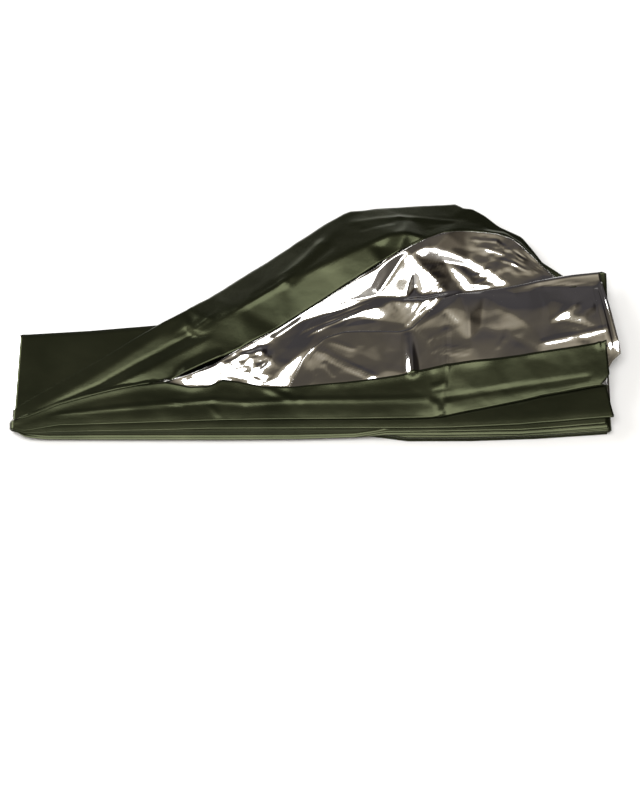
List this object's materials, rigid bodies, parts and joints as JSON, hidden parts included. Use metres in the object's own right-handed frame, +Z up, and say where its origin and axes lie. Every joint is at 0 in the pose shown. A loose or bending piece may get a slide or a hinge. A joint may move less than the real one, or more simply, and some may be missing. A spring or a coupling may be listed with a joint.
{
  "type": "emergency foil blanket",
  "caption": "Thin emergency foil blanket, olive on one face and silver on the other, folded into a long flat strip with its top length fanned open.",
  "frame": {"origin": "under the middle of the whole outline, on the surface that the blanket lies on", "axes": "+X along the folded strip from its gathered end to its open end, +Y towards the fanned back, +Z up"},
  "size_m": [0.5318, 0.2418, 0.0212],
  "materials": {
    "olive_film": "smooth olive plastic face of the film, satin gloss with fine creases",
    "silver_film": "metallised silver face of the film, mirror bright with sharp crinkles"
  },
  "bodies": {
    "root": {"foil_blanket": "olive_film"}
  },
  "joints": []
}
